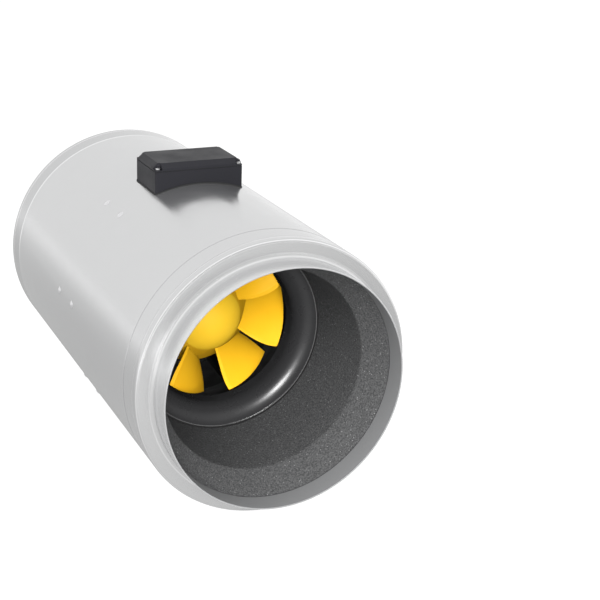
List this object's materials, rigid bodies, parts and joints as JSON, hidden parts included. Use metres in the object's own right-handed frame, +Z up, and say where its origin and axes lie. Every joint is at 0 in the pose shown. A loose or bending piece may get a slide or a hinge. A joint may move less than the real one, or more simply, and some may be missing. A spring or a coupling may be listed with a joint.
{
  "type": "inline duct fan",
  "caption": "Round inline duct fan: galvanised casing with stepped spigots, foam lining, bell mouth, mixed-flow impeller on a rotor, guide vanes and a terminal box on top.",
  "frame": {"origin": "on the fan axis, in the plane of the inlet spigot's mouth", "axes": "+Y along the fan axis from inlet to outlet, +Z up through the terminal box, +X towards the cable gland"},
  "size_m": [0.2854, 0.54, 0.3094],
  "materials": {
    "galvanised": "galvanised sheet steel, satin",
    "fastener": "bright zinc plated",
    "foam": "open-cell acoustic foam, dark grey with light specks",
    "black_plastic": "black glass-filled plastic, satin",
    "yellow_plastic": "golden yellow plastic, satin",
    "motor_steel": "turned and pressed steel",
    "lamination": "laminated electrical steel",
    "magnet": "ferrite ring",
    "copper": "enamelled winding wire",
    "cast_aluminium": "die-cast",
    "bearing_steel": "ground",
    "rubber": "black rubber",
    "box_plastic": "anthracite plastic, fine grain",
    "terminal_plastic": "ivory plastic"
  },
  "bodies": {
    "housing": {"casing": "galvanised", "inlet_cap": "galvanised", "outlet_cap": "galvanised", "inlet_foam": "foam", "middle_foam": "foam", "outlet_foam": "foam", "bell_mouth": "black_plastic", "bell_screws": "fastener", "stator_housing": "black_plastic", "guide_vanes": "black_plastic", "motor_drum": "black_plastic", "lead_conduit": "black_plastic", "tail_cone": "black_plastic", "brackets": "galvanised", "bracket_screws": "fastener", "bracket_rivets": "fastener", "motor_flange": "cast_aluminium", "motor_screws": "fastener", "stator_core": "lamination", "windings": "copper", "front_bearing": "bearing_steel", "rear_bearing": "bearing_steel", "motor_lead": "rubber", "lead_grommet": "rubber", "saddle_seal": "rubber", "box_base": "box_plastic", "box_screws": "fastener", "box_gasket": "rubber", "box_lid": "box_plastic", "lid_screws": "fastener", "terminal_block": "terminal_plastic", "terminal_screws": "fastener", "gland_body": "black_plastic", "gland_nut": "black_plastic", "gland_seal": "rubber", "gland_locknut": "black_plastic"},
    "rotor": {"impeller": "yellow_plastic", "impeller_screws": "fastener", "hub_cap": "yellow_plastic", "rotor_can": "motor_steel", "rotor_magnets": "magnet", "shaft": "motor_steel", "shaft_clip": "motor_steel"}
  },
  "joints": [
    {"name": "impeller_spin", "type": "hinge", "parent": "housing", "child": "rotor", "pos_m": [0, 0.22, 0], "axis": [0, 1, 0], "continuous": true}
  ]
}
